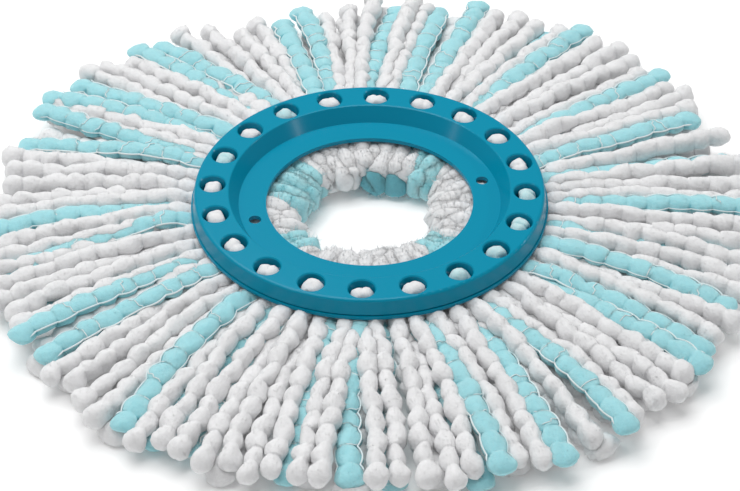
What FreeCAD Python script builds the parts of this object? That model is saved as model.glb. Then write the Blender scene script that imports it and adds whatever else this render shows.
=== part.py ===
"""Mop head of a spin mop: a moulded carrier ring with twenty tufts of beaded yarn.

Frame: +Z up along the ring's axis, origin at the centre of the flange's top face, where the mop's disc
seats. The two locating holes lie on the X axis. The head lies on a floor at z = -seat_height.
"""
import FreeCAD, Part
import Sketcher
import math
import os

# Driving dimensions, in millimetres and degrees.
SIZES = {
    "tuft_count": 20,
    "hole_circle_radius": 70.0,
    "hole_radius": 5.8,
    "hole_chamfer": 0.5,
    "opening_radius": 46.2,
    "flange_radius": 58.45,
    "flange_thickness": 1.9,
    "rim_inner_radius": 62.65,
    "rim_outer_radius": 77.8,
    "rim_height": 7.0,
    "rim_inner_round": 0.7,
    "rim_outer_round": 1.4,
    "top_wall": 2.0,
    "channel_top_inner_radius": 63.8,
    "channel_top_outer_radius": 75.5,
    "channel_foot_inner_radius": 59.65,
    "channel_foot_outer_radius": 77.1,
    "wall_foot_radius": 79.0,
    "groove_radius": 78.5,
    "groove_top": 0.1,
    "groove_foot": 0.7,
    "lip_radius": 79.6,
    "lip_foot": 2.2,
    "locating_hole_count": 2,
    "locating_circle_radius": 52.5,
    "locating_hole_radius": 2.75,
    "sleeve_radius": 7.3,
    "sleeve_bite": 0.3,
    "wire_radius": 0.8,
    "wire_half_length": 7.5,
    "wire_height": 1.0,
    "wire_play": 0.1,
    "fold_half_width": 5.0,
    "fold_half_thickness": 3.4,
    "fold_top": 5.2,
    "fold_crown_round": 4.4,
    "fold_side_round": 2.0,
    "root_top": 2.6,
    "root_flat_inner_radius": 38.0,
    "root_flat_outer_radius": 75.5,
    "root_seat_inner_radius": 44.0,
    "root_seat_outer_radius": 76.5,
    "root_inner_bend": 9.8,
    "root_outer_bend": 13.0,
    "root_angle": 17.0,
    "seat_height": 20.5,
    "strand_radius": 3.3,
    "strand_start_radius": 85.5,
    "strand_knee_radius": 106.0,
    "strand_middle_radius": 140.0,
    "strand_tip_radius": 172.0,
}

# The eight yarn ends of one tuft. Each is (turn about the ring's axis in degrees, height above the
# floor) at its start, knee, middle and tip, then how far its tip passes the tip radius.
STRANDS = [
    [(-5.7, 15.3), (-6.6, 14.7), (-6.8, 11.7), (-7.1, 9.6), 0.0],
    [(-3.0, 9.7), (-3.2, 11.0), (-3.5, 11.1), (-3.4, 10.2), 4.0],
    [(0.0, 15.9), (0.3, 15.2), (-0.2, 12.2), (0.1, 10.4), -1.0],
    [(3.0, 9.7), (3.1, 10.7), (3.5, 11.4), (3.7, 9.9), 3.0],
    [(5.7, 15.5), (6.5, 14.3), (7.0, 11.9), (6.9, 9.3), -2.0],
    [(-5.7, 3.4), (-5.3, 3.5), (-5.1, 3.4), (-5.4, 3.4), -5.0],
    [(0.0, 3.4), (0.2, 3.5), (-0.2, 3.4), (0.0, 3.4), 1.0],
    [(5.7, 3.4), (5.4, 3.5), (5.1, 3.4), (5.3, 3.4), -4.0],
]

# For each tuft, counted round from the X axis: its two blue ends, and how far its tips pass the others'.
TUFTS = [
    [(2, 4), 3.0], [(3, 6), 5.0], [(3, 7), 9.0], [(3, 4), 5.0], [(2, 5), 2.0],
    [(1, 2), -6.0], [(2, 3), 2.0], [(2, 3), 6.0], [(1, 2), 2.0], [(3, 7), -3.0],
    [(5, 7), 0.0], [(1, 2), -2.0], [(2, 7), 1.0], [(5, 7), 0.0], [(2, 7), -1.0],
    [(3, 6), 0.0], [(1, 3), 3.0], [(3, 4), 1.0], [(2, 7), -1.0], [(3, 5), -1.0],
]

STATIONS = ("strand_start_radius", "strand_knee_radius", "strand_middle_radius", "strand_tip_radius")
ARC_SHARE = 0.45  # of the shorter run at a bend
FULL_TURN = 360.0
VOLUME_SLACK = 0.005
TINY = 1e-4
TOP = FreeCAD.Vector(0, 0, 1)

doc = FreeCAD.newDocument("MopHead")
sheet = doc.addObject("Spreadsheet::Sheet", "Sizes")
for row, (alias, amount) in enumerate(SIZES.items(), start=1):
    sheet.set(f"A{row}", alias)
    sheet.set(f"B{row}", str(amount))
    sheet.setAlias(f"B{row}", alias)
doc.recompute()


def number(total):
    """The value of a sum of aliases, such as 'rim_height - top_wall'."""
    value = 0.0
    sign = 1.0
    for word in total.split():
        if word in "+-":
            sign = -1.0 if word == "-" else 1.0
        else:
            value += sign * float(sheet.get(word))
    return value


def bound(total):
    """The same sum, as an expression that reads the sheet."""
    return " ".join(word if word in "+-" else f"Sizes.{word}" for word in total.split())


def new_body(label):
    body = doc.addObject("PartDesign::Body", label)
    body.Label = label
    body.AllowCompound = True
    return body


def new_sketch(body, name, plane, offset=""):
    """An empty sketch on an origin plane of its body, moved along the plane's normal by offset."""
    sketch = body.newObject("Sketcher::SketchObject", name)
    origin_plane = next(f for f in body.Origin.OriginFeatures if f.Role == plane)
    sketch.AttachmentSupport = [(origin_plane, "")]
    sketch.MapMode = "FlatFace"
    if offset:
        sketch.setExpression(".AttachmentOffset.Base.z", bound(offset))
    return sketch


def hold_point(sketch, geometry, end, x, y):
    """Fix one point of a sketch at (x, y), each of them a sum of aliases, or empty for zero."""
    if x:
        index = sketch.addConstraint(Sketcher.Constraint("DistanceX", -1, 1, geometry, end, number(x)))
        sketch.setExpression(f"Constraints[{index}]", bound(x))
    else:
        sketch.addConstraint(Sketcher.Constraint("PointOnObject", geometry, end, -2))
    if y:
        index = sketch.addConstraint(Sketcher.Constraint("DistanceY", -1, 1, geometry, end, number(y)))
        sketch.setExpression(f"Constraints[{index}]", bound(y))
    else:
        sketch.addConstraint(Sketcher.Constraint("PointOnObject", geometry, end, -1))


def add_circle(sketch, x, y, radius):
    circle = Part.Circle(FreeCAD.Vector(number(x), number(y), 0), TOP, number(radius))
    geometry = sketch.addGeometry(circle)
    hold_point(sketch, geometry, 3, x, y)
    index = sketch.addConstraint(Sketcher.Constraint("Radius", geometry, number(radius)))
    sketch.setExpression(f"Constraints[{index}]", bound(radius))


def add_outline(sketch, corners, bends):
    """A closed outline, anticlockwise. bends maps a side to the radius of the outward arc that it is."""
    points = [FreeCAD.Vector(number(x), number(y), 0) for x, y in corners]
    for side, start in enumerate(points):
        end = points[(side + 1) % len(points)]
        if side not in bends:
            sketch.addGeometry(Part.LineSegment(start, end))
            continue
        radius = number(bends[side])
        chord = end - start
        inward = FreeCAD.Vector(-chord.y, chord.x, 0).normalize()
        centre = (start + end) / 2 + inward * math.sqrt(radius**2 - chord.Length**2 / 4)
        first = math.atan2(start.y - centre.y, start.x - centre.x)
        last = math.atan2(end.y - centre.y, end.x - centre.x)
        sketch.addGeometry(Part.ArcOfCircle(Part.Circle(centre, TOP, radius), first, last))
    for side, (x, y) in enumerate(corners):
        sketch.addConstraint(Sketcher.Constraint("Coincident", side, 1, (side - 1) % len(corners), 2))
        hold_point(sketch, side, 1, x, y)
    for side, bend in bends.items():
        index = sketch.addConstraint(Sketcher.Constraint("Radius", side, number(bend)))
        sketch.setExpression(f"Constraints[{index}]", bound(bend))


def revolve(body, sketch, angle="", name="Revolution"):
    """Turn a sketch about its vertical axis: right round, or by angle, half of it each way."""
    turned = body.newObject("PartDesign::Revolution", name)
    turned.Profile = sketch
    turned.ReferenceAxis = (sketch, ["V_Axis"])
    turned.Angle = FULL_TURN
    if angle:
        turned.Midplane = True
        turned.setExpression("Angle", bound(angle))
    return turned


def pad(body, sketch, length, reverse=False, both_ways=False):
    raised = body.newObject("PartDesign::Pad", f"{sketch.Name}Pad")
    raised.Profile = sketch
    raised.SideType = "Symmetric" if both_ways else "One side"
    raised.Reversed = reverse
    raised.setExpression("Length", bound(length))
    return raised


def pocket(body, sketch, length="", reverse=False):
    """Cut a sketch out against its normal, right through where no length is given."""
    before = body.Tip.Shape.Volume
    cut = body.newObject("PartDesign::Pocket", f"{sketch.Name}Pocket")
    cut.Profile = sketch
    cut.Reversed = reverse
    if length:
        cut.setExpression("Length", bound(length))
    else:
        cut.Type = "ThroughAll"
    doc.recompute()
    if cut.Shape.Volume >= before:
        raise RuntimeError(f"{cut.Name} cuts nothing")
    return cut


def repeat_round(body, feature=None, count="tuft_count"):
    """The feature, or the whole body where none is given, at even steps round the ring's axis."""
    pattern = body.newObject("PartDesign::PolarPattern", f"{body.Name}Round")
    if feature:
        pattern.Originals = [feature]
    else:
        pattern.TransformMode = "Whole shape"
    axis = next(f for f in body.Origin.OriginFeatures if f.Role == "Z_Axis")
    pattern.Axis = (axis, [""])
    pattern.Angle = FULL_TURN
    pattern.setExpression("Occurrences", bound(count))
    body.Tip = pattern
    doc.recompute()
    return pattern


def edge_names(shape, wanted):
    """The names of the shape's edges for which wanted(edge) is true."""
    return [f"Edge{i}" for i, edge in enumerate(shape.Edges, start=1) if wanted(edge)]


def dress(body, kind, size_name, size, wanted, name):
    """A fillet or chamfer on the edges of the body's last feature that wanted picks."""
    base = body.Tip
    made = body.newObject(f"PartDesign::{kind}", name)
    made.Base = (base, edge_names(base.Shape, wanted))
    made.setExpression(size_name, bound(size))
    doc.recompute()
    return made


def round_off(body, kind, size_name, size, edge_radius):
    """A fillet or chamfer on the circular edges of one radius that lie in the rim's top face."""
    level = number("rim_height")
    radius = number(edge_radius)

    def on_top(edge):
        box = edge.BoundBox
        flat = abs(box.ZMin - level) < TINY and abs(box.ZMax - level) < TINY
        return flat and isinstance(edge.Curve, Part.Circle) and abs(edge.Curve.Radius - radius) < TINY

    return dress(body, kind, size_name, size, on_top, f"{edge_radius}_{kind}")


def make_carrier_ring():
    """The moulded ring: a shell with a rim, a conical inner wall and a flange, cored from below."""
    body = new_body("carrier_ring")
    profile = new_sketch(body, "RingProfile", "XZ_Plane")
    underside = "rim_height - top_wall"
    corners = [
        ("opening_radius", "- flange_thickness"),
        ("channel_foot_inner_radius", "- flange_thickness"),
        ("channel_top_inner_radius", underside),
        ("channel_top_outer_radius", underside),
        ("channel_foot_outer_radius", "- lip_foot"),
        ("lip_radius", "- lip_foot"),
        ("lip_radius", "- groove_foot"),
        ("groove_radius", "- groove_foot"),
        ("groove_radius", "- groove_top"),
        ("wall_foot_radius", "- groove_top"),
        ("rim_outer_radius", "rim_height"),
        ("rim_inner_radius", "rim_height"),
        ("flange_radius", ""),
        ("opening_radius", ""),
    ]
    add_outline(profile, corners, {})
    revolve(body, profile)
    doc.recompute()
    round_off(body, "Fillet", "Radius", "rim_inner_round", "rim_inner_radius")
    round_off(body, "Fillet", "Radius", "rim_outer_round", "rim_outer_radius")

    sleeve = new_sketch(body, "Sleeve", "XY_Plane", f"{underside} + sleeve_bite")
    add_circle(sleeve, "hole_circle_radius", "", "sleeve_radius")
    repeat_round(body, pad(body, sleeve, f"{underside} + sleeve_bite + flange_thickness", reverse=True))

    yarn_hole = new_sketch(body, "YarnHole", "XY_Plane", "rim_height")
    add_circle(yarn_hole, "hole_circle_radius", "", "hole_radius")
    repeat_round(body, pocket(body, yarn_hole))
    round_off(body, "Chamfer", "Size", "hole_chamfer", "hole_radius")

    seat = new_sketch(body, "WireSeat", "XY_Plane", "- lip_foot")
    near = "hole_circle_radius - wire_half_length - wire_play"
    far = "hole_circle_radius + wire_half_length + wire_play"
    right = "- wire_radius - wire_play"
    left = "wire_radius + wire_play"
    add_outline(seat, [(near, right), (far, right), (far, left), (near, left)], {})
    seat_cut = pocket(body, seat, "lip_foot + wire_height + wire_radius + wire_play", reverse=True)
    repeat_round(body, seat_cut)

    locating_hole = new_sketch(body, "LocatingHole", "XY_Plane", "rim_height")
    add_circle(locating_hole, "locating_circle_radius", "", "locating_hole_radius")
    repeat_round(body, pocket(body, locating_hole), "locating_hole_count")
    return body


def make_anchor_wires():
    """Steel pins that lie radially across the sleeves. Each bundle is folded over one of them."""
    body = new_body("anchor_wires")
    section = new_sketch(body, "WireSection", "YZ_Plane", "hole_circle_radius - wire_half_length")
    add_circle(section, "", "wire_height", "wire_radius")
    repeat_round(body, pad(body, section, "wire_half_length + wire_half_length"))
    return body


def make_yarn_folds():
    """The folded middles of the bundles, one in each sleeve, saddled over its wire."""
    body = new_body("yarn_folds")
    side_view = new_sketch(body, "FoldSideView", "YZ_Plane", "hole_circle_radius")
    corners = [
        ("- fold_half_width", "- root_top"),
        ("fold_half_width", "- root_top"),
        ("fold_half_width", "fold_top"),
        ("- fold_half_width", "fold_top"),
    ]
    add_outline(side_view, corners, {})
    add_circle(side_view, "", "wire_height", "wire_radius + wire_play")
    pad(body, side_view, "fold_half_thickness + fold_half_thickness", both_ways=True)
    doc.recompute()
    top = number("fold_top")
    foot = -number("root_top")
    bore = number("wire_radius + wire_play")

    def across_the_top(edge):
        box = edge.BoundBox
        return box.ZMin > top - TINY and box.YLength < TINY

    def round_a_side(edge):
        in_bore = isinstance(edge.Curve, Part.Circle) and abs(edge.Curve.Radius - bore) < TINY
        box = edge.BoundBox
        return box.XLength < TINY and box.ZMax > foot + TINY and not in_bore

    dress(body, "Fillet", "Radius", "fold_crown_round", across_the_top, "FoldCrown")
    dress(body, "Fillet", "Radius", "fold_side_round", round_a_side, "FoldSides")
    repeat_round(body)
    return body


def make_tuft_roots():
    """The bundles pressed flat between the ring and the floor, which bulge into the central opening."""
    body = new_body("tuft_roots")
    profile = new_sketch(body, "RootProfile", "XZ_Plane")
    corners = [
        ("root_flat_inner_radius", "- seat_height"),
        ("root_flat_outer_radius", "- seat_height"),
        ("root_seat_outer_radius", "- root_top"),
        ("root_seat_inner_radius", "- root_top"),
    ]
    add_outline(profile, corners, {1: "root_outer_bend", 3: "root_inner_bend"})
    repeat_round(body, revolve(body, profile, "root_angle"))
    return body


def tube_path(points):
    """Straight runs through the points, joined by arcs tangent to both runs, and the arcs' radii."""
    edges = []
    radii = []
    start = points[0]
    for before, corner, after in zip(points, points[1:], points[2:]):
        run_in = corner - before
        run_out = after - corner
        setback = ARC_SHARE * min(run_in.Length, run_out.Length)
        half_turn = run_in.getAngle(run_out) / 2
        run_in.normalize()
        run_out.normalize()
        radius = setback / math.tan(half_turn)
        arc_start = corner - run_in * setback
        arc_end = corner + run_out * setback
        inside = (run_out - run_in).normalize()
        arc_middle = corner + inside * radius * (1 / math.cos(half_turn) - 1)
        edges.append(Part.LineSegment(start, arc_start).toShape())
        edges.append(Part.Arc(arc_start, arc_middle, arc_end).toShape())
        radii.append(radius)
        start = arc_end
    edges.append(Part.LineSegment(start, points[-1]).toShape())
    return Part.Wire(edges), radii


def make_tube(points, radius):
    """A round tube along the points, as one solid, and the radii of its bends."""
    path, radii = tube_path(points)
    end = Part.Circle(points[0], points[1] - points[0], radius).toShape()
    tube = path.makePipeShell([Part.Wire([end])], True, False)
    expected = math.pi * radius**2 * path.Length
    if abs(tube.Volume - expected) > expected * VOLUME_SLACK:
        raise RuntimeError(f"a tube's volume is {tube.Volume:.0f}, not {expected:.0f} cubic mm")
    return tube, radii


def strand_points(tuft, strand):
    """The route of one yarn end, out from beside the ring's lip to its tip on the floor."""
    *route, own_reach = STRANDS[strand]
    tuft_reach = TUFTS[tuft][1]
    pitch = FULL_TURN / number("tuft_count")
    points = []
    for (turn, height), station in zip(route, STATIONS):
        radius = number(station)
        if station == STATIONS[-1]:
            radius += tuft_reach + own_reach
        angle = math.radians(tuft * pitch + turn)
        level = height - number("seat_height")
        points.append(FreeCAD.Vector(radius * math.cos(angle), radius * math.sin(angle), level))
    return points


def make_strands(colour, tuft, strands):
    """The yarn ends of one colour in one tuft, each a separate solid."""
    tubes = []
    for strand in strands:
        tube, radii = make_tube(strand_points(tuft, strand), number("strand_radius"))
        tubes.append(tube)
        bends = ", ".join(f"{radius:.0f}" for radius in radii)
        print(f"{colour} tuft {tuft + 1} strand {strand}: bend radii {bends} mm")
    feature = doc.addObject("Part::Feature", f"{colour}_strands_{tuft + 1:02d}")
    feature.Label = feature.Name
    feature.Shape = Part.makeCompound(tubes)
    feature.Placement = FreeCAD.Placement()
    return feature


def make_tufts():
    made = []
    for tuft, (blue_strands, _) in enumerate(TUFTS):
        white_strands = [strand for strand in range(len(STRANDS)) if strand not in blue_strands]
        made.append(make_strands("white", tuft, white_strands))
        made.append(make_strands("blue", tuft, blue_strands))
    return made


subparts = [make_carrier_ring(), make_anchor_wires(), make_yarn_folds(), make_tuft_roots()]
subparts += make_tufts()
doc.recompute()

for item in doc.Objects:
    if "Invalid" in item.State or "Error" in item.State:
        raise RuntimeError(f"{item.Label} did not build: {item.State}")
for subpart in subparts:
    if subpart.Shape.isNull() or not subpart.Shape.isValid():
        raise RuntimeError(f"{subpart.Label} has no valid shape")

os.makedirs("parts", exist_ok=True)
for subpart in subparts:
    subpart.Shape.exportStep(f"parts/{subpart.Label}.step")
    solids = len(subpart.Shape.Solids)
    print(f"{subpart.Label}: {solids} solids, {subpart.Shape.Volume / 1000:.2f} cubic cm")
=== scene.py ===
import math

import bpy
import numpy as np
from mathutils import Matrix, Vector


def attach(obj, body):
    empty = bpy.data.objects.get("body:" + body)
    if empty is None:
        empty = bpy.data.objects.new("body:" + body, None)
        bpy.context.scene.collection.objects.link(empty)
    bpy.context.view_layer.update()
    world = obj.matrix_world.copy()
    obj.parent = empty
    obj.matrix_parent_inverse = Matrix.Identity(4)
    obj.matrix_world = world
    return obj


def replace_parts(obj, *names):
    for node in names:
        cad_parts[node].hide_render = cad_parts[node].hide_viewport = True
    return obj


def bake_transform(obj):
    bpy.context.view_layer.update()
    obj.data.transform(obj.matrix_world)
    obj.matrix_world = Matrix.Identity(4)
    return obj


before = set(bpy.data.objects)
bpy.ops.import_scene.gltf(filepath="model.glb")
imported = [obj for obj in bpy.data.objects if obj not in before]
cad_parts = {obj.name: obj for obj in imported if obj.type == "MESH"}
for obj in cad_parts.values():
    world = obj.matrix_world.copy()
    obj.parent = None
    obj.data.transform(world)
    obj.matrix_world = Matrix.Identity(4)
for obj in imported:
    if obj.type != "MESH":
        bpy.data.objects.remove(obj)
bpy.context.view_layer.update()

MM = 0.001
FLOOR_DEPTH = 20.5  # mm from the origin, on the flange's top face, down to the floor
FLOOR = -FLOOR_DEPTH * MM
TUFTS = 20
PITCH = 360 / TUFTS  # degrees from one tuft to the next
HOLE_CIRCLE = 70.0  # mm from the axis to the middle of a hole
FLANGE_REACH = 44 * MM  # further from the axis than this, yarn is kept under the flange
FLANGE_FOOT = -2.1 * MM  # a little under the flange's lower face
BEND_LEVEL = -12 * MM  # the level of the line that a tuft's bend is measured along
rng = np.random.default_rng(20)
scene = bpy.context.scene


# ---------------------------------------------------------------- camera
RING_TOP = 7.0 * MM
CAMERA_TURN = math.radians(-15.12)
CAMERA_RISE = math.radians(38.94)
CAMERA_DISTANCE = 1.0588
CAMERA_AIM = Vector((0.00007, -0.04112, 0))
CAMERA_ROLL = math.radians(0.384)


def place_camera():
    """The camera, which looks down at the front of the ring from a metre away."""
    turned = Matrix.Rotation(CAMERA_TURN, 3, "Z")
    aim = turned @ CAMERA_AIM + Vector((0, 0, RING_TOP))
    back = turned @ Vector((0, -math.cos(CAMERA_RISE), math.sin(CAMERA_RISE)))
    data = bpy.data.cameras.new("camera")
    data.lens = 119.4
    data.sensor_width = 36
    data.clip_start, data.clip_end = 0.05, 20
    camera = bpy.data.objects.new("camera", data)
    camera.location = aim + back * CAMERA_DISTANCE
    upright = (-back).to_track_quat("-Z", "Y").to_matrix()
    camera.rotation_euler = (upright @ Matrix.Rotation(-CAMERA_ROLL, 3, "Z")).to_euler()
    scene.collection.objects.link(camera)
    scene.camera = camera


place_camera()


# ---------------------------------------------------------------- routes of the yarns
STATIONS = (85.5, 106.0, 140.0, 172.0)  # mm from the axis to a yarn's start, knee, middle and tip
UNDER_RING = 73.0  # mm from the axis to where its route begins
FIRST_LOW = 5  # the strands from this one on lie below the others
LOW_SPREAD = 1.12  # how many times further apart these lie where LAY doesn't place them
FOLLOWING = 0.85  # how far the other strands are turned with those beside them in LAY
GATHERED = 0.9  # how much closer together strands are under the ring than at its edge
# Each strand is (turn in degrees, height above the floor in mm) at the four stations, then how far
# its tip passes the last station in mm.
STRANDS = [
    [(-5.7, 15.3), (-6.6, 14.7), (-6.8, 11.7), (-7.1, 9.6), 0.0],
    [(-3.0, 9.7), (-3.2, 11.0), (-3.5, 11.1), (-3.4, 10.2), 4.0],
    [(0.0, 15.9), (0.3, 15.2), (-0.2, 12.2), (0.1, 10.4), -1.0],
    [(3.0, 9.7), (3.1, 10.7), (3.5, 11.4), (3.7, 9.9), 3.0],
    [(5.7, 15.5), (6.5, 14.3), (7.0, 11.9), (6.9, 9.3), -2.0],
    [(-5.7, 11.5), (-5.3, 9.0), (-5.1, 5.4), (-5.4, 3.8), -5.0],
    [(0.0, 11.5), (0.2, 9.0), (-0.2, 5.4), (0.0, 3.8), 1.0],
    [(5.7, 11.5), (5.4, 9.0), (5.1, 5.4), (5.3, 3.8), -4.0],
]
# The two blue strands of each tuft, and how far that tuft reaches past the others in mm.
BLUE = [
    [(2, 4), 3.0], [(3, 6), 5.0], [(3, 7), 9.0], [(3, 4), 5.0], [(2, 5), 2.0],
    [(1, 2), -6.0], [(2, 3), 2.0], [(2, 3), 6.0], [(1, 2), 2.0], [(3, 7), -3.0],
    [(5, 7), 0.0], [(1, 2), -2.0], [(2, 7), 1.0], [(5, 7), 0.0], [(2, 7), -1.0],
    [(3, 6), 0.0], [(1, 3), 3.0], [(3, 4), 1.0], [(2, 7), -1.0], [(3, 5), -1.0],
]
# How the blue ends and some of their neighbours lie: the turn from the tuft's middle at the four
# stations, in degrees, the side the binding thread is on, and how far the end is raised in mm.
LAY = {
    (0, 1): ((-3.0, -3.2, -3.5, -4.0), 0, 4.0),
    (0, 2): ((-0.7, -0.3, 0.0, -1.4), 1, -2.5),
    (0, 3): ((3.0, 3.0, 3.4, 3.6), 0, 4.0),
    (0, 4): ((8.4, 9.6, 10.2, 11.0), -1, 0.0),
    (1, 3): ((4.4, 3.8, 3.5, 3.7), 1, 3.0),
    (2, 3): ((5.8, 5.2, 4.2, 2.7), 1, 2.5),
    (2, 7): ((7.0, 7.6, 7.8, 7.8), -1, 3.0),
    (3, 3): ((3.7, 3.4, 3.0, 2.5), 1, 3.0),
    (3, 4): ((9.0, 9.6, 9.3, 8.8), -1, 0.0),
    (4, 1): ((-1.0, -2.0, -3.2, -5.0), 0, 4.0),
    (4, 2): ((4.0, 2.8, 0.2, -2.4), 1, -2.5),
    (4, 3): ((5.6, 5.0, 3.6, 2.0), 0, 4.0),
    (5, 1): ((-4.5, -4.6, -4.3, -3.8), 1, 3.0),
    (5, 2): ((0.6, 0.7, 0.5, 0.1), 1, 0.0),
    (6, 2): ((-3.4, -1.4, 1.4, 4.0), 1, 0.0),
    (6, 3): ((2.6, 3.8, 5.6, 7.8), 1, 2.0),
    (6, 6): ((0.2, 1.2, 3.4, 5.8), 0, 3.0),
    (7, 2): ((-3.2, -1.2, 1.2, 2.6), -1, 0.0),
    (7, 3): ((1.2, 2.6, 5.0, 7.8), -1, 2.0),
    (8, 1): ((-7.0, -6.2, -5.8, -6.4), -1, 3.0),
    (8, 2): ((-3.8, -2.6, -0.6, 2.0), 1, 0.0),
    (8, 5): ((-5.4, -4.6, -3.4, -2.4), 0, 3.0),
    (9, 3): ((-0.2, 1.2, 3.6, 6.4), -1, 2.0),
    (10, 5): ((-9.0, -8.0, -5.0, -2.6), 1, 5.0),
    (11, 1): ((-7.4, -6.4, -5.0, -4.0), 1, 4.0),
    (11, 2): ((-1.4, -0.8, 0.2, 0.9), 1, 0.0),
    (11, 5): ((-4.2, -3.8, -3.2, -2.4), 0, 3.0),
    (12, 2): ((-2.4, -1.4, -0.2, 2.6), -1, 0.0),
    (13, 5): ((-7.0, -7.2, -7.0, -6.6), 1, 2.0),
    (13, 7): ((8.0, 8.8, 9.0, 9.0), 1, 1.0),
    (14, 1): ((-2.0, -3.2, -4.2, -3.8), 0, 4.5),
    (14, 2): ((-0.6, -1.6, -1.4, 0.2), 1, -2.5),
    (14, 3): ((1.6, 2.7, 3.2, 3.6), 0, 4.5),
    (15, 3): ((1.9, 2.9, 3.4, 2.4), -1, 3.0),
    (16, 1): ((-2.8, -3.6, -4.9, -7.0), 1, 1.0),
    (16, 3): ((4.5, 4.7, 4.9, 3.2), -1, 3.0),
    (17, 3): ((4.3, 4.0, 3.4, 2.5), 1, 2.0),
    (17, 4): ((7.6, 8.0, 7.6, 5.6), -1, 0.0),
    (18, 2): ((2.2, 2.0, 0.8, -2.2), 1, 0.0),
    (19, 3): ((5.5, 5.0, 4.2, 3.4), 1, 3.0),
    (19, 5): ((-6.6, -6.7, -6.6, -6.5), 1, 2.5),
}


def side_shift(degrees, station):
    """How far the yarns that lie round this azimuth are turned from even spacing, at one station."""
    known = []
    for (tuft, strand), (turns, _, _) in LAY.items():
        if strand < FIRST_LOW:
            even = STRANDS[strand][station][0]
            known.append(((tuft * PITCH + even) % 360, turns[station] - even))
    known.sort()
    return float(np.interp(degrees % 360, *zip(*known), period=360))


def polar(radius, degrees, height):
    """A point from its radius in mm, azimuth and height above the floor in mm."""
    angle = math.radians(degrees)
    return (radius * math.cos(angle) * MM, radius * math.sin(angle) * MM, height * MM + FLOOR)


def end_route(tuft, strand):
    """The route's points of one yarn end, from under the ring to its tip."""
    *stops, own = STRANDS[strand]
    low = strand >= FIRST_LOW
    turns, _, raised = LAY.get((tuft, strand), (None, 0, 0))
    points = []
    for i, (even, height) in enumerate(stops):
        radius = STATIONS[i] + (BLUE[tuft][1] + own if i == 3 else 0)
        if turns is not None:
            turn = turns[i]
        elif low:
            turn = even * LOW_SPREAD
        else:
            turn = even + side_shift(tuft * PITCH + even, i) * FOLLOWING
        if i == 0:
            tucked = height - (0 if low else 2.0)
            points.append(polar(UNDER_RING, tuft * PITCH + turn * GATHERED, tucked))
        lift = raised * ((1.5 if raised > 0 else 0.5), 1, 1, 0.8)[i]
        points.append(polar(radius, tuft * PITCH + turn, height + lift))
    return points


def smooth_line(points, steps=16):
    """Points along the smooth curve that has these points as its control points."""
    data = bpy.data.curves.new("route", "CURVE")
    data.dimensions = "3D"
    spline = data.splines.new("NURBS")
    spline.points.add(len(points) - 1)
    for point, place in zip(spline.points, points):
        point.co = (*place, 1)
    spline.order_u = 3
    spline.use_endpoint_u = True
    spline.resolution_u = steps
    data.resolution_u = steps
    holder = bpy.data.objects.new("route", data)
    mesh = bpy.data.meshes.new_from_object(holder)
    out = np.array([v.co for v in mesh.vertices], float)
    bpy.data.objects.remove(holder)
    bpy.data.curves.remove(data)
    bpy.data.meshes.remove(mesh)
    return out


# ---------------------------------------------------------------- mesh helpers
def rest_on_floor(verts):
    """Presses what would reach under the floor flat against it."""
    soft = 1.2 * MM  # what is higher than this stays as it is
    skin = 0.1 * MM  # nothing is pressed lower than this
    depth = np.minimum((verts[:, 2] - FLOOR - soft) / soft, 0)
    low = FLOOR + skin + (soft - skin) * np.exp(depth)
    verts[:, 2] = np.where(depth < 0, low, verts[:, 2])
    return verts


class Soup:
    """Vertices, quads, a painted shade for each vertex and a material number for each quad, for one
    mesh.
    """

    def __init__(self):
        self.verts, self.quads, self.shade, self.kind, self.count = [], [], [], [], 0

    def add(self, verts, quads, shade, kind=0):
        self.verts.append(verts)
        self.quads.append(quads + self.count)
        self.shade.append(shade)
        self.kind.append(np.full(len(quads), kind))
        self.count += len(verts)

    def make(self, name, materials):
        verts = rest_on_floor(np.concatenate(self.verts))
        quads = np.concatenate(self.quads)
        mesh = bpy.data.meshes.new(name)
        mesh.vertices.add(len(verts))
        mesh.vertices.foreach_set("co", verts.astype(np.float32).ravel())
        mesh.loops.add(len(quads) * 4)
        mesh.loops.foreach_set("vertex_index", quads.astype(np.int32).ravel())
        mesh.polygons.add(len(quads))
        mesh.polygons.foreach_set("loop_start", np.arange(0, len(quads) * 4, 4, dtype=np.int32))
        mesh.polygons.foreach_set("use_smooth", np.ones(len(quads), bool))
        mesh.polygons.foreach_set("material_index", np.concatenate(self.kind).astype(np.int32))
        mesh.update(calc_edges=True)
        mesh.validate()
        data = mesh.attributes.new("shade", "FLOAT", "POINT")
        data.data.foreach_set("value", np.concatenate(self.shade).astype(np.float32))
        for material in materials:
            mesh.materials.append(material)
        obj = bpy.data.objects.new(name, mesh)
        scene.collection.objects.link(obj)
        return obj


def resample(line, count):
    """count points evenly spaced along a line."""
    steps = np.linalg.norm(np.diff(line, axis=0), axis=1)
    along = np.concatenate([[0], np.cumsum(steps)])
    where = np.linspace(0, along[-1], count)
    return np.stack([np.interp(where, along, line[:, i]) for i in range(3)], 1)


def at(line, where):
    """Points of a line at these distances along it, run on straight past both ends."""
    steps = np.linalg.norm(np.diff(line, axis=0), axis=1)
    along = np.concatenate([[0], np.cumsum(steps)])
    inside = np.stack([np.interp(where, along, line[:, i]) for i in range(3)], -1)
    first = (line[1] - line[0]) / steps[0]
    last = (line[-1] - line[-2]) / steps[-1]
    inside += np.minimum(where, 0)[..., None] * first
    inside += np.maximum(where - along[-1], 0)[..., None] * last
    return inside


def sides(line, up=(0, 0, 1)):
    """Two unit vectors square to the line at each of its points: across, and over."""
    along = np.gradient(line, axis=0)
    along /= np.linalg.norm(along, axis=1)[:, None]
    across = np.cross(along, np.array(up, float))
    across /= np.linalg.norm(across, axis=1)[:, None]
    return across, np.cross(across, along)


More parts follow.
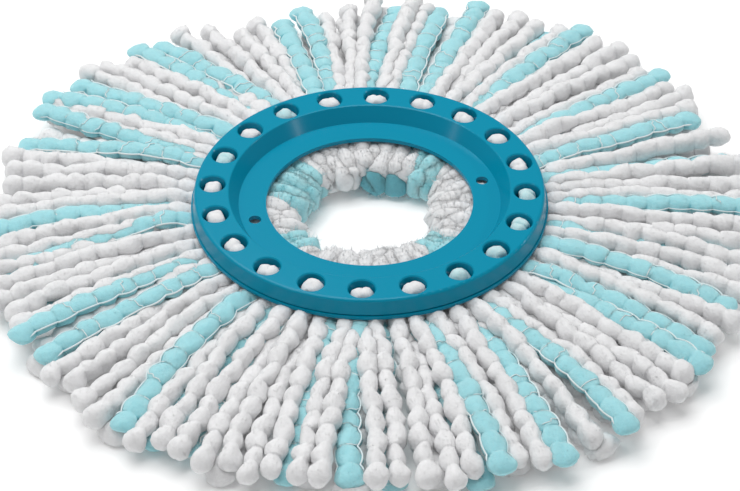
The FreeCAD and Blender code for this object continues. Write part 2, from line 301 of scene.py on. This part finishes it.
def closed_tube(rows, points):
    """Quads of a tube of rows rings, with its two ends drawn together to a point each."""
    i = np.arange(rows - 1)[:, None] * points
    j = np.arange(points)[None]
    k = (j + 1) % points
    return np.stack([i + j, i + k, i + points + k, i + points + j], -1).reshape(-1, 4)


BEAD_ROWS = 9  # rings of points along one bead


def cut_beads(total, pitch, jitter, first):
    """Where along a yarn its beads begin and end. The last one ends at the yarn's tip."""
    cuts = [-pitch * rng.uniform(0.1, 0.9) if first is None else -first]
    while cuts[-1] < total:
        cuts.append(cuts[-1] + pitch * rng.uniform(1 - jitter * 1.5, 1 + jitter * 1.5))
    cuts = np.array(cuts)
    cuts[1:] *= total / cuts[-1]
    return cuts


def sides_at(line, total, pos, up):
    """The line's two sideways directions at these distances along it."""
    spot = np.linspace(0, total, 120)
    across, over = sides(resample(line, 120), up)
    across = np.stack([np.interp(pos, spot, across[:, i]) for i in range(3)], 1)
    over = np.stack([np.interp(pos, spot, over[:, i]) for i in range(3)], 1)
    return across, over


def lumps(angle, phase, bead, beads):
    """How uneven the beads are round about and along, and the last bead most of all."""
    turn = rng.uniform(0, 6, beads)[bead][:, None]
    lump = 0.05 * np.sin(angle[None] * 3 + turn + 2 * phase[:, None])
    lump += 0.035 * np.sin(angle[None] * 5 - 3 * turn + 6 * phase[:, None])
    lump += rng.normal(0, 0.016, (len(bead), len(angle)))
    return 1 + lump * np.where(bead == beads - 1, 1.35, 1.0)[:, None]


def beaded(line, radius, pitch, neck, slant, sway, around=22, flat=1.0, jitter=0.12, swell=1.08,
           grow=(1.0, 1.0), fan=None, up=(0, 0, 1), first=None, ringed=0.2):
    """A chenille yarn: soft beads with drawn-in necks, from the line's start to its end.

    neck is the share of the radius left at a neck, and ringed how much of that shows all round.
    slant tilts the necks, sway moves the beads off the line, and flat squashes them. swell is for
    the last bead, grow is the size at the start and the end, and fan widens and thins the tip.
    """
    total = np.linalg.norm(np.diff(line, axis=0), axis=1).sum()
    cuts = cut_beads(total, pitch, jitter, first)
    beads = len(cuts) - 1
    size = rng.uniform(1 - jitter, 1 + jitter * 0.8, beads)
    size[-1] *= swell
    lean = rng.uniform(0, 2 * math.pi, beads + 1)
    tilt = rng.uniform(0.2, 1.0, beads + 1) * slant
    off = rng.uniform(-1, 1, (beads + 2, 2)) * sway
    bow = rng.uniform(-1, 1, beads) * sway

    # every bead has the same rows, closer together at its necks
    phase = np.tile((1 - np.cos(np.pi * (np.arange(BEAD_ROWS) + 0.5) / BEAD_ROWS)) / 2, beads)
    bead = np.repeat(np.arange(beads), BEAD_ROWS)
    pos = cuts[bead] + (cuts[bead + 1] - cuts[bead]) * phase
    kept = pos >= 0
    bead, phase, pos = bead[kept], phase[kept], pos[kept]
    near = np.where(phase < 0.5, bead, bead + 1)
    last = (bead == beads - 1) & (phase > 0.5)
    angle = np.linspace(0, 2 * np.pi, around, endpoint=False)

    # each neck is drawn in more at its sides than on its top
    bulge = np.sin(np.pi * phase) ** 0.8
    bulge[last] = 1
    deep = np.cos(angle[None] - rng.normal(0, 0.3, beads + 1)[near][:, None]) ** 2
    deep = ringed + (1 - ringed) * deep
    drawn = 1 - (1 - neck) * (1 - bulge)[:, None] * deep
    girth = radius * size[bead] * (grow[0] + (grow[1] - grow[0]) * pos / total)
    girth[last] *= np.sqrt(1 - ((phase[last] - 0.5) / 0.5) ** 2.2)

    crease = np.abs(np.cos(np.pi * phase)) ** 1.5
    shift = (tilt[near] * crease * radius)[:, None] * np.cos(angle[None] - lean[near][:, None])
    drift = off[bead] * (1 - phase)[:, None] + off[bead + 1] * phase[:, None]
    drift += (np.sin(np.pi * phase) * bow[bead])[:, None] * np.array([1, 0.5])
    wide, thick = np.ones(len(pos)), np.full(len(pos), flat)
    if fan is not None:
        reach, grown, thin = fan
        near_tip = np.clip(1 - (total - pos) / reach, 0, 1) ** 1.2
        wide, thick = 1 + (grown - 1) * near_tip, flat * (1 + (thin - 1) * near_tip)

    across, over = sides_at(line, total, pos, up)
    on_line = at(line, pos)
    centre = on_line + drift[:, :1] * across + drift[:, 1:] * over
    slid = at(line, pos[:, None] + shift) - on_line[:, None]
    spread = (girth[:, None] * drawn * lumps(angle, phase, bead, beads))[..., None] * (
        (np.cos(angle)[None, :] * wide[:, None])[..., None] * across[:, None]
        + (np.sin(angle)[None, :] * thick[:, None])[..., None] * over[:, None])
    verts = centre[:, None] + slid + spread
    verts[0] = verts[0].mean(0)
    verts[-1] = verts[-1].mean(0)
    # the neck shade is painted shade: most at the necks' sides, none on the beads' middles
    return {
        "verts": verts.reshape(-1, 3), "quads": closed_tube(len(pos), around),
        "shade": ((1 - bulge)[:, None] * deep).ravel(), "centre": centre, "across": across,
        "over": over, "radius": girth * drawn.mean(1), "wide": wide, "thick": thick,
        "necks": np.flatnonzero(np.diff(bead) != 0), "rings": verts,
    }


def stand_off(part, count, lean):
    """Random places on a yarn's surface: the place, the way out of the yarn, and a leaning way."""
    rings, centre = part["rings"], part["centre"]
    # rows are picked by the surface they stand for, so that the necks don't get most of the pile
    area = np.linalg.norm(np.gradient(centre, axis=0), axis=1) * part["radius"]
    filled = np.cumsum(area[1:-1])
    picked = (rng.integers(1, rings.shape[0] - 1, count) - 0.5) / (rings.shape[0] - 2)
    i = 1 + np.searchsorted(filled, picked * filled[-1])
    j = rng.integers(0, rings.shape[1], count)
    root = rings[i, j]
    out = root - centre[i]
    out /= np.linalg.norm(out, axis=1)[:, None] + 1e-9
    way = out + rng.normal(0, lean, (count, 3))
    way /= np.linalg.norm(way, axis=1)[:, None]
    return root, out, way


def fuzz(part, count, length, lean=0.6, width=0.1 * MM):
    """Short tapered fibres, three-sided, standing off a yarn's surface."""
    root, out, way = stand_off(part, count, lean)
    size = length * rng.uniform(0.5, 1.2, count)
    stray = rng.normal(0, 0.1, (count, 3))
    side = np.cross(way, rng.normal(0, 1, (count, 3)))
    side /= np.linalg.norm(side, axis=1)[:, None]
    other = np.cross(way, side)
    foot = root - out * 0.3 * MM
    tip = foot + size[:, None] * (way + stray)
    angle = np.linspace(0, 2 * np.pi, 3, endpoint=False)
    turn = np.cos(angle)[None, :, None] * side[:, None] + np.sin(angle)[None, :, None] * other[:, None]
    verts = np.stack([foot[:, None] + width * 0.5 * turn, tip[:, None] + width * 0.1 * turn], 1)
    quads = (np.arange(count) * 6)[:, None, None] + closed_tube(2, 3)[None]
    return verts.reshape(-1, 3), quads.reshape(-1, 4), np.zeros(count * 6)


# ---------------------------------------------------------------- materials
def shader(name, colour, rough):
    """A new material with its node tree and its Principled BSDF."""
    material = bpy.data.materials.new(name)
    material.use_nodes = True
    tree = material.node_tree
    surface = tree.nodes["Principled BSDF"]
    surface.inputs["Base Color"].default_value = (*colour, 1)
    surface.inputs["Roughness"].default_value = rough
    return material, tree, surface


def noise(tree, scale, detail=3.0, rough=0.5):
    """Noise of this scale that stays on the object."""
    node = tree.nodes.new("ShaderNodeTexNoise")
    node.inputs["Scale"].default_value = scale
    node.inputs["Detail"].default_value = detail
    node.inputs["Roughness"].default_value = rough
    where = tree.nodes.new("ShaderNodeTexCoord")
    tree.links.new(where.outputs["Object"], node.inputs["Vector"])
    return node


def ramp(tree, source, stops):
    """The colour between these stops that a value from 0 to 1 picks."""
    node = tree.nodes.new("ShaderNodeValToRGB")
    tree.links.new(source, node.inputs["Fac"])
    while len(node.color_ramp.elements) < len(stops):
        node.color_ramp.elements.new(0.5)
    for stop, (place, colour) in zip(node.color_ramp.elements, stops):
        stop.position = place
        stop.color = (*colour, 1)
    return node.outputs["Color"]


def multiply(tree, one, other):
    """Two colours multiplied."""
    node = tree.nodes.new("ShaderNodeMix")
    node.data_type = "RGBA"
    node.blend_type = "MULTIPLY"
    node.inputs[0].default_value = 1.0
    tree.links.new(one, node.inputs[6])
    tree.links.new(other, node.inputs[7])
    return node.outputs[2]


def bump(tree, surface, height, strength, distance):
    """Raises the surface by this height without changing its shape."""
    node = tree.nodes.new("ShaderNodeBump")
    node.inputs["Strength"].default_value = strength
    node.inputs["Distance"].default_value = distance
    tree.links.new(height, node.inputs["Height"])
    tree.links.new(node.outputs["Normal"], surface.inputs["Normal"])


def let_through(tree, surface, colour, share):
    """Mixes in a share of light that comes through from behind."""
    through = tree.nodes.new("ShaderNodeBsdfTranslucent")
    tree.links.new(colour, through.inputs["Color"])
    both = tree.nodes.new("ShaderNodeMixShader")
    both.inputs["Fac"].default_value = share
    tree.links.new(surface.outputs["BSDF"], both.inputs[1])
    tree.links.new(through.outputs["BSDF"], both.inputs[2])
    tree.links.new(both.outputs["Shader"], tree.nodes["Material Output"].inputs["Surface"])


def yarn(name, crown, crease, sheen, glow=0.0):
    """Microfibre yarn, paler on its beads than in its necks, where painted shade darkens it. Loose
    pile has some glow.
    """
    material, tree, surface = shader(name, crown, 0.95)
    shade = tree.nodes.new("ShaderNodeAttribute")
    shade.attribute_name = "shade"
    # the crease colour is painted shade, laid on by the neck shade attribute
    base = ramp(tree, shade.outputs["Fac"], [(0.0, crown), (0.45, crown), (1.0, crease)])
    patch = noise(tree, 420, 3.0, 0.6)
    tone = ramp(tree, patch.outputs["Fac"], [(0.32, (0.95, 0.95, 0.95)), (0.6, (1, 1, 1))])
    colour = multiply(tree, base, tone)
    tree.links.new(colour, surface.inputs["Base Color"])
    pile = noise(tree, 900, 4.0, 0.6)
    bump(tree, surface, pile.outputs["Fac"], 0.6, 0.0007)
    surface.inputs["Sheen Weight"].default_value = sheen
    surface.inputs["Sheen Roughness"].default_value = 0.5
    surface.inputs["Specular IOR Level"].default_value = 0.1
    if glow:
        let_through(tree, surface, colour, glow)
        return material
    surface.inputs["Subsurface Weight"].default_value = 0.7
    surface.inputs["Subsurface Radius"].default_value = (1, 1, 1)
    surface.inputs["Subsurface Scale"].default_value = 0.0035
    return material


# Each yarn's first colour is its own; the second, for its necks, is painted shade.
WHITE = yarn("white_chenille", (0.84, 0.84, 0.848), (0.82, 0.823, 0.835), 0.12)
AQUA = yarn("aqua_chenille", (0.38, 0.72, 0.775), (0.22, 0.58, 0.65), 0.12)
PALE = yarn("pale_chenille", (0.55, 0.77, 0.80), (0.42, 0.66, 0.70), 0.12)
# A darker copy of the aqua yarn: painted shade for the loops that lie low under the ring.
SHADED_AQUA = yarn("aqua_chenille_painted_shade", (0.17, 0.46, 0.53), (0.08, 0.32, 0.38), 0.12)
WHITE_PILE = yarn("white_pile", (0.93, 0.93, 0.935), (0.86, 0.865, 0.875), 0.3, glow=0.35)
AQUA_PILE = yarn("aqua_pile", (0.46, 0.79, 0.83), (0.24, 0.58, 0.65), 0.3, glow=0.35)
PALE_PILE = yarn("pale_pile", (0.60, 0.80, 0.83), (0.42, 0.66, 0.70), 0.3, glow=0.35)
# the darker copy of the aqua pile is painted shade too
SHADED_AQUA_PILE = yarn("aqua_pile_painted_shade", (0.2, 0.5, 0.57), (0.1, 0.36, 0.42), 0.3, glow=0.35)


def thread_material():
    """Pale binding thread with a fine twist."""
    material, tree, surface = shader("binding_thread", (0.80, 0.88, 0.89), 0.7)
    twist = tree.nodes.new("ShaderNodeTexWave")
    twist.inputs["Scale"].default_value = 900
    twist.inputs["Distortion"].default_value = 2
    where = tree.nodes.new("ShaderNodeTexCoord")
    tree.links.new(where.outputs["Object"], twist.inputs["Vector"])
    bump(tree, surface, twist.outputs["Fac"], 0.4, 0.0002)
    return material


THREAD = thread_material()


# ---------------------------------------------------------------- yarn ends
def along(tuft, radius):
    """A point of the line that a tuft's bend is measured along, this far from the axis in mm."""
    angle = math.radians(tuft * PITCH)
    return (radius * math.cos(angle) * MM, radius * math.sin(angle) * MM, BEND_LEVEL)


def bend_with(obj):
    """Bakes the piece's placement into its mesh."""
    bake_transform(obj)


def thread_tube(path, radius, around=6):
    """A thread along this path, with pointed ends."""
    across, over = sides(path)
    angle = np.linspace(0, 2 * np.pi, around, endpoint=False)
    r = np.full(len(path), radius)
    r[0] = r[-1] = radius * 0.1
    verts = path[:, None] + r[:, None, None] * (
        np.cos(angle)[None, :, None] * across[:, None] + np.sin(angle)[None, :, None] * over[:, None])
    return verts.reshape(-1, 3), closed_tube(len(path), around)


STRONG_SIDE = 64.0  # degrees from a blue yarn's top to its strong edge thread
FINE_SIDE = -72.0  # and to the fine one on its other edge
BARE_NECKS = 0.25  # the share of its necks that no thread crosses


def over_yarn(part, side, rows, degrees, off):
    """Points on a yarn's surface at these rows, turned this far from its top to one side."""
    wide, thick = part["radius"] * part["wide"], part["radius"] * part["thick"]
    turn = np.radians(degrees) * side
    spread = ((1.02 * wide[rows] + off) * np.sin(turn))[:, None] * part["across"][rows]
    rise = (thick[rows] * np.cos(turn) + off)[:, None] * part["over"][rows]
    return part["centre"][rows] + spread + rise


def binding_threads(part, side):
    """The threads of a blue yarn: one along each edge, and short ones over most of its necks."""
    rows = np.arange(2, len(part["wide"]) - 5)
    strong = np.full(len(rows), STRONG_SIDE)
    fine = np.full(len(rows), FINE_SIDE)
    threads = [thread_tube(over_yarn(part, side, rows, strong, 0.15 * MM), 0.4 * MM),
               thread_tube(over_yarn(part, side, rows, fine, 0.1 * MM), 0.24 * MM)]
    for i in part["necks"][:-1]:
        if rng.random() < BARE_NECKS:
            continue
        start = i + rng.integers(-3, 3)
        wander = np.linspace(0, rng.integers(-3, 4), 12).round().astype(int)
        row = np.clip(start + wander, 1, None)
        degrees = np.linspace(STRONG_SIDE, rng.uniform(-70, -20), 12)
        threads.append(thread_tube(over_yarn(part, side, row, degrees, 0.12 * MM), 0.26 * MM, 5))
    return threads


def blue_end(tuft, strand, letter):
    """One flat blue yarn end with its pile and threads."""
    route = end_route(tuft, strand)
    line = smooth_line(route)
    part = beaded(line, radius=5.5 * MM, pitch=10.7 * MM, neck=0.62, slant=0.15, sway=0.6 * MM,
                  flat=0.66, jitter=0.07, swell=1.0, grow=(0.95, 1.05), fan=(14 * MM, 1.05, 0.75))
    soup = Soup()
    soup.add(part["verts"], part["quads"], part["shade"])
    soup.add(*fuzz(part, 800, 1.0 * MM, lean=0.45, width=0.14 * MM), kind=1)
    side = -LAY.get((tuft, strand), (0, 1, 0))[1] or 1
    for verts, quads in binding_threads(part, side):
        soup.add(verts, quads, np.zeros(len(verts)), kind=2)
    obj = soup.make(f"blue_yarn_{tuft + 1:02d}_{letter}", [AQUA, AQUA_PILE, THREAD])
    bend_with(obj)
    return obj


def white_ends(tuft):
    """All the white yarn ends of a tuft, as one piece. The low ones are wide and pressed flat."""
    number = f"{tuft + 1:02d}"
    soup = Soup()
    for strand in range(len(STRANDS)):
        if strand in BLUE[tuft][0]:
            continue
        radius, flat, ringed = (6.2, 0.7, 0.6) if strand >= FIRST_LOW else (4.25, 1.0, 0.2)
        line = smooth_line(end_route(tuft, strand))
        part = beaded(line, radius=radius * MM, pitch=10.4 * MM, neck=0.6, slant=0.15, sway=0.9 * MM,
                      around=20, flat=flat, swell=1.1, grow=(0.96, 1.05), ringed=ringed)
        soup.add(part["verts"], part["quads"], part["shade"])
        soup.add(*fuzz(part, 900, 1.6 * MM, lean=0.45, width=0.16 * MM), kind=1)
    obj = soup.make(f"white_yarn_{number}", [WHITE, WHITE_PILE])
    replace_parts(obj, f"white_strands_{number}")
    bend_with(obj)


for tuft in range(TUFTS):
    white_ends(tuft)
    for strand, letter in zip(BLUE[tuft][0], "ab"):
        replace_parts(blue_end(tuft, strand, letter), f"blue_strands_{tuft + 1:02d}")


# ---------------------------------------------------------------- folds over the wires
PALE_FOLDS = (6, 8, 16, 17, 18, 19)  # tufts whose fold is of blue yarn
OTHER_NECKS = (1, 6, 7, 11, 13, 15, 16, 17)  # tufts whose fold has its necks half a bead off


def turned(points, degrees):
    """Points turned about the ring's axis."""
    angle = math.radians(degrees)
    spin = np.array([
        [math.cos(angle), math.sin(angle), 0],
        [-math.sin(angle), math.cos(angle), 0],
        [0, 0, 1],
    ])
    return np.asarray(points, float) @ spin


def fold(tuft):
    """The short arch of yarn that shows in a hole, where the tuft goes over its wire."""
    soup = Soup()
    k = rng.uniform(0.94, 1.04)
    tip = rng.uniform(-0.4, 0.4)
    arch = np.array([
        (HOLE_CIRCLE, -2.2 * k, -6),
        (HOLE_CIRCLE, -2.3 * k, 1.0),
        (HOLE_CIRCLE - 0.1, -2.1 * k, 4.0 + tip),
        (HOLE_CIRCLE - 0.1, 0, 4.6),
        (HOLE_CIRCLE - 0.1, 2.1 * k, 4.0 - tip),
        (HOLE_CIRCLE, 2.3 * k, 1.0),
        (HOLE_CIRCLE, 2.2 * k, -6),
    ]) * MM
    line = smooth_line(turned(arch, tuft * PITCH + rng.uniform(-0.3, 0.3)))
    first = (3.4 if tuft in OTHER_NECKS else 0.3) + rng.uniform(-0.8, 0.8)
    part = beaded(line, radius=3.3 * MM, pitch=6.8 * MM, neck=0.5, slant=0.4, sway=0.2 * MM,
                  flat=1.15, jitter=0.05, up=turned([(1, 0, 0)], tuft * PITCH)[0], first=first * MM)
    soup.add(part["verts"], part["quads"], part["shade"])
    soup.add(*fuzz(part, 120, 0.6 * MM), kind=1)
    pale = tuft in PALE_FOLDS
    obj = soup.make(f"yarn_fold_{tuft + 1:02d}", [PALE, PALE_PILE] if pale else [WHITE, WHITE_PILE])
    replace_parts(obj, "yarn_folds")
    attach(obj, "root")


# ---------------------------------------------------------------- loops under the ring
BLUE_ROOTS = (2, 7, 8, 11, 17)  # tufts whose loops are blue
TWO_TONE = (3, 4, 5)  # tufts with white loops over blue ones, which are darkened with painted shade
# How far in each tuft's loops reach: the radius of the ragged way through the middle, in mm.
INNER = (27, 33, 31, 28, 27, 27, 27, 27, 28, 32, 31, 28, 30, 27, 25, 24, 26, 27, 27, 25)


def loop_line(tuft, turn, under):
    """The route of one loop: in under the ring, round at the opening, and out along the floor."""
    inner = INNER[tuft] + rng.uniform(1.0, 6.0) - (1.5 if under else 0)
    top = rng.uniform(-8.6, -7.6) - (3.5 if under else 0)
    low = -15.0 + rng.uniform(-1.0, 1.0) + (3.0 if tuft in TWO_TONE and not under else 0)
    turn += tuft * PITCH + rng.uniform(-1.0, 1.0)
    shape = [(79, -8.2), (66, -7.8), (52, top), (inner + 7, top - 0.6), (inner, (top + low) / 2),
             (inner + 5, low), (58, -15.4), (79, -15.8)]
    return smooth_line([polar(r, turn + rng.uniform(-0.8, 0.8), FLOOR_DEPTH + z) for r, z in shape])


def root_loops(tuft):
    """Where a tuft's yarns turn back under the ring and fill its middle."""
    soup = Soup()
    loops = [(turn, False) for turn in (-6.0, 0.0, 6.0)]
    if tuft in TWO_TONE:
        loops += [(-3.0, True), (3.0, True)]
    for turn, under in loops:
        line = loop_line(tuft, turn, under)
        part = beaded(line, radius=5.4 * MM, pitch=15 * MM, neck=0.75, slant=0.1, sway=0.9 * MM,
                      up=turned([(0, 1, 0)], tuft * PITCH)[0], ringed=0.6)
        kind = 2 if under else 0
        soup.add(part["verts"], part["quads"], part["shade"], kind=kind)
        soup.add(*fuzz(part, 1800, 2.6 * MM, lean=0.5, width=0.2 * MM), kind=kind + 1)
    for verts in soup.verts:  # none of it stands through the flange
        out = np.hypot(verts[:, 0], verts[:, 1]) > FLANGE_REACH
        verts[out, 2] = np.minimum(verts[out, 2], FLANGE_FOOT)
    blue = tuft in BLUE_ROOTS
    colours = [AQUA, AQUA_PILE] if blue else [WHITE, WHITE_PILE]
    if tuft in TWO_TONE:
        # the low loops get the aqua yarn darkened with painted shade
        colours += [SHADED_AQUA, SHADED_AQUA_PILE]
    obj = soup.make(f"root_loops_{tuft + 1:02d}", colours)
    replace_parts(obj, "tuft_roots")
    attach(obj, "root")


for tuft in range(TUFTS):
    fold(tuft)
    root_loops(tuft)


# ---------------------------------------------------------------- ring
def ring_material():
    """Smooth teal plastic with a faint grain."""
    material, tree, surface = shader("teal_plastic", (0.0, 0.265, 0.41), 0.2)
    surface.inputs["Specular IOR Level"].default_value = 0.2
    grain = noise(tree, 700, 3.0)
    bump(tree, surface, grain.outputs["Fac"], 0.05, 0.0002)
    return material


def steel_material():
    """Drawn steel wire."""
    material, tree, surface = shader("bright_steel", (0.62, 0.62, 0.64), 0.3)
    surface.inputs["Metallic"].default_value = 1.0
    drawn = noise(tree, 900, 2.0)
    bump(tree, surface, drawn.outputs["Fac"], 0.1, 0.0001)
    return material


for name, material in (("carrier_ring", ring_material()), ("anchor_wires", steel_material())):
    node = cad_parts[name]
    if not node.material_slots:
        node.data.materials.append(material)
    for slot in node.material_slots:
        slot.material = material


# ---------------------------------------------------------------- floor and light
def make_floor():
    """A pale floor that glows a little, so that it reads as a white background."""
    bpy.ops.mesh.primitive_plane_add(size=8, location=(0, 0, FLOOR - 0.2 * MM))
    floor = bpy.context.object
    floor.name = "floor"
    material, _, surface = shader("pale_floor", (0.97, 0.97, 0.97), 1.0)
    surface.inputs["Emission Color"].default_value = (1, 1, 1, 1)
    surface.inputs["Emission Strength"].default_value = 0.1
    surface.inputs["Specular IOR Level"].default_value = 0.0
    floor.data.materials.append(material)


def make_world():
    """An even white surround."""
    world = bpy.data.worlds.new("studio")
    world.use_nodes = True
    world.node_tree.nodes["Background"].inputs["Color"].default_value = (1, 1, 1, 1)
    world.node_tree.nodes["Background"].inputs["Strength"].default_value = 0.26
    scene.world = world


# Each lamp's name, place in metres, size in metres, power in watts, and whether it lights what is
# matt too. The last two only make the glints on the ring's inner wall.
LAMPS = (
    ("overhead", (-0.2, 0.4, 1.5), 1.6, 24, True),
    ("from_right", (1.09, -0.01, 0.71), 0.12, 1.2, True),
    ("from_left", (-0.74, -0.22, 1.05), 0.12, 1.2, True),
    ("glint_front", (0.64, -0.61, 0.334), 0.04, 0.22, False),
    ("glint_left", (-0.90, -0.03, 0.284), 0.03, 0.11, False),
)


def make_lamps():
    """Square lamps that face the middle of the object."""
    for name, where, size, power, matt_too in LAMPS:
        data = bpy.data.lights.new(name, "AREA")
        data.size = size
        data.energy = power
        light = bpy.data.objects.new(name, data)
        light.location = where
        light.rotation_euler = (-Vector(where)).to_track_quat("-Z", "Y").to_euler()
        light.visible_diffuse = matt_too
        scene.collection.objects.link(light)


make_floor()
make_world()
make_lamps()
scene.view_settings.view_transform = "Standard"
